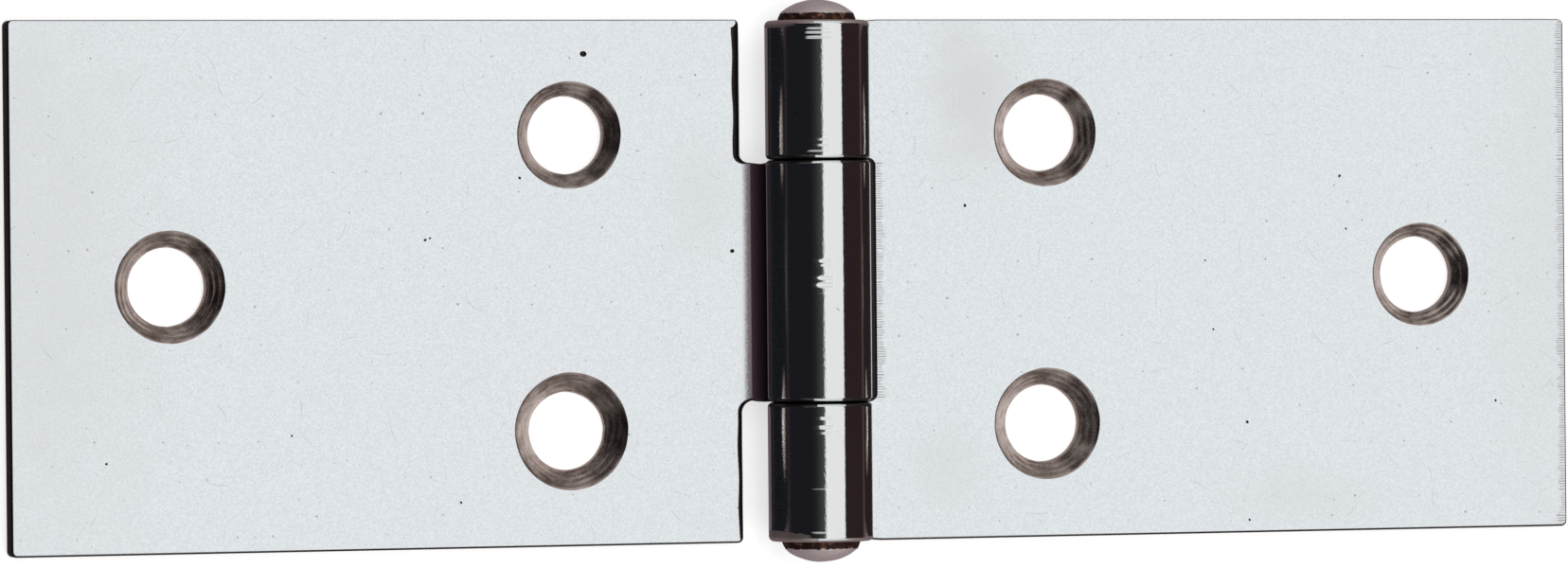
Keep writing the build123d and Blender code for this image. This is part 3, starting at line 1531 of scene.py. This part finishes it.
@dataclass
class Hinge:
    """The whole hinge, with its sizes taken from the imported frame."""

    notch: float = 4.4
    right_notch: float = 4.17
    notch_radius: float = 0.42
    corner_radius: float = 0.35
    blend_radius: float = 1.0
    knuckle_gap: float = 0.02
    middle_end: float = 7.39
    setback: float = 0.11
    thickness: float = 1.5
    pin_radius: float = 1.65
    head_taper: float = 0.12
    rim_height: float = 0.5
    tab_low: tuple[tuple[float, float, float], ...] = ((3.1, 0.0, 0.8), (4.4, 0.26, 0.75))
    tab_high: tuple[tuple[float, float, float], ...] = ((4.4, 0.08, 0.5), (2.9, 0.24, 0.8), (1.7, 0.0, 1.0))
    left_cuts: tuple[tuple[float, float, float], ...] = (
        (3.24, 0.006, 150.0),
        (3.56, 0.012, 200.0),
        (3.36, 0.02, 200.0),
    )
    right_cuts: tuple[tuple[float, float, float], ...] = (
        (3.30, 0.010, 0.0),
        (3.42, 0.010, -20.0),
        (3.20, 0.018, 0.0),
    )

    def __post_init__(self) -> None:
        """Reads the overall sizes and the holes from the frame."""
        _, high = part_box("right_leaf")
        self.reach = high.x / MM
        self.end = high.y / MM
        self.axis_height = frame["joints"][0]["pos_m"][2] / MM
        mounts = {mount["name"]: mount for mount in frame["record"]["mounts"]}
        near, far = mounts["right_near_screws"], mounts["right_far_screw"]
        self.near_reach = near["pos_m"][0] / MM
        self.near_offset = near["dims"]["spacing_y_mm"] / 2
        self.far_reach = far["pos_m"][0] / MM
        self.bore_radius = far["dims"]["r_mm"]
        self.barrel_end = self.end - self.setback
        pin_low, pin_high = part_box("hinge_pin")
        self.dome_end = pin_high.y / MM
        self.head_radius = (pin_high.z - pin_low.z) / 2 / MM
        log.info("leaf %.1f by %.1f mm, pin axis at %.2f mm", self.reach, self.end * 2, self.axis_height)

    def holes(self, cuts: Sequence[tuple[float, float, float]]) -> list[Countersink]:
        """The three holes of a leaf, sunk a little deeper or shallower each.

        Args:
            cuts: For the upper, the lower and the far hole the radius of its countersink on the face, how
                deep the cutter chattered, and on which side most, in degrees from the way that points off the
                pin.

        Returns:
            The holes.
        """
        near, offset = self.near_reach, self.near_offset
        places = [(near, offset), (near, -offset), (self.far_reach, 0.0)]
        bore, thickness = self.bore_radius, self.thickness
        return [Countersink(place, bore, *cut, thickness) for place, cut in zip(places, cuts)]

    def left_pits(self) -> list[Pit]:
        """The larger pits in the left leaf's face."""
        return [
            Pit(14.36, 13.92, 0.20, 0.10), Pit(18.44, 6.41, 0.09, 0.05), Pit(5.0, 1.86, 0.13, 0.07),
            Pit(44.2, -10.5, 0.08, 0.04), Pit(22.3, -13.2, 0.08, 0.04), Pit(32.8, -9.0, 0.07, 0.03),
            Pit(24.4, 2.7, 0.09, 0.04), Pit(24.1, 2.8, 0.07, 0.03),
        ]

    def right_pits(self) -> list[Pit]:
        """The larger pits in the right leaf's face."""
        return [
            Pit(10.04, 4.53, 0.10, 0.05), Pit(34.8, 6.2, 0.09, 0.05), Pit(28.5, -9.1, 0.10, 0.05),
            Pit(35.2, 2.9, 0.07, 0.04), Pit(26.3, -3.3, 0.07, 0.04), Pit(45.2, -8.0, 0.08, 0.04),
            Pit(28.6, -15.2, 0.08, 0.04), Pit(25.8, 1.0, 0.06, 0.03),
        ]

    def leaves(self) -> list[Leaf]:
        """The left leaf with the middle knuckle and the right leaf with the outer two.

        Each outline runs in chains with the steel on the left, from one rolled tab's root to the next. The
        left leaf's middle tab is cut slightly askew: its lower and upper corners are given by their distance
        from the pin's axis, how far they stand in from the tab's end and their radius.
        """
        middle, outer = self.middle_end, self.middle_end + self.knuckle_gap
        notch, end, reach, barrel = self.notch, self.end, self.reach, self.barrel_end
        low = [(across, inset - middle) for across, inset, _ in self.tab_low]
        high = [(across, middle - inset) for across, inset, _ in self.tab_high]
        outer_corners = [(notch, -end), (reach, -end), (reach, end), (notch, end)]
        left_chain = [(0.0, -middle), *low, *outer_corners, *high, (0.0, middle)]
        left_radii = [radius for _, _, radius in self.tab_low]
        left_radii += [self.corner_radius] * len(outer_corners) + [radius for _, _, radius in self.tab_high]
        outer_chain = [(0.0, -barrel), (self.axis_height, -barrel), *outer_corners]
        outer_chain += [(self.axis_height, barrel), (0.0, barrel)]
        outer_radii = [self.blend_radius] * 2 + [self.corner_radius] * 2 + [self.blend_radius] * 2
        notch_chain = [(0.0, outer), (self.right_notch, outer), (self.right_notch, -outer), (0.0, -outer)]
        shared = {"end": end, "axis_height": self.axis_height, "thickness": self.thickness}
        left = Leaf(
            "left_leaf_sheet", Side.LEFT, "left_side", "left_leaf", tabs=[(-middle, middle)],
            chains=[(left_chain, left_radii)], holes=self.holes(self.left_cuts), pits=self.left_pits(),
            grooves=self.middle_grooves(), bright_feet=(170.0, 203.0), **shared,
        )
        right = Leaf(
            "right_leaf_sheet", Side.RIGHT, "right_side", "right_leaf",
            tabs=[(-barrel, -outer), (outer, barrel)],
            chains=[(outer_chain, outer_radii), (notch_chain, [self.notch_radius] * 2)],
            holes=self.holes(self.right_cuts), pits=self.right_pits(), grooves=self.outer_grooves(), **shared,
        )
        return [left, right]

    def middle_grooves(self) -> list[Groove]:
        """The tool's marks round the middle knuckle."""
        return [
            Groove(1.22, 0.17, 0.060, 180, 197),
            Groove(0.95, 0.10, 0.036, 180, 196),
            Groove(0.18, 0.19, 0.078, 180, 198),
            Groove(-0.25, 0.23, 0.096, 180, 199),
            Groove(-0.75, 0.05, 0.010, 170, 205),
            Groove(6.75, 0.05, 0.008, 165, 215),
        ]

    def outer_grooves(self) -> list[Groove]:
        """The tool's marks round the outer knuckles."""
        return [
            Groove(15.35, 0.08, 0.028, 150, 180),
            Groove(15.10, 0.08, 0.036, 150, 180),
            Groove(14.80, 0.10, 0.044, 150, 180),
            Groove(8.60, 0.09, 0.034, 162, 178),
            Groove(8.25, 0.09, 0.038, 162, 178),
            Groove(7.90, 0.06, 0.020, 150, 180),
            Groove(-8.35, 0.14, 0.056, 162, 179),
            Groove(-8.90, 0.17, 0.070, 161, 179),
            Groove(-9.25, 0.10, 0.036, 162, 178),
            Groove(-12.65, 0.06, 0.014, 150, 180),
            Groove(-15.30, 0.08, 0.022, 150, 180),
        ]

    def pin(self) -> Pin:
        """The pin with its two heads."""
        return Pin(
            "hinge_pin_rod", "right_side", "hinge_pin", self.axis_height, self.pin_radius, self.barrel_end,
            self.head_radius, self.head_taper, self.barrel_end + self.rim_height, self.dome_end,
        )

    def add(self) -> None:
        """Builds and dresses every piece, with the leaves' materials in the order of the finishes."""
        finishes = [
            PolishedFace("polished_face", (0.755, 0.805, 0.835), 0.12),
            # The sheared edges' near-black colour is a painted reflection of the dark room.
            ShearedEdge("sheared_edge", (0.06, 0.05, 0.05), 0.35),
            CountersunkCone("countersunk_cone", (0.53, 0.455, 0.41), 0.2),
            RolledBarrel("rolled_barrel", (0.72, 0.75, 0.74), 0.04),
        ]
        materials = [finish.build() for finish in finishes]
        for leaf in self.leaves():
            leaf.add(materials)
        self.pin().add(PeenedSteel("peened_steel", (0.98, 0.905, 0.87), 0.52).build())


def main() -> None:
    logging.basicConfig(level=logging.INFO, format="%(message)s")
    Hinge().add()
    Studio().add()


if __name__ == "__main__":
    main()
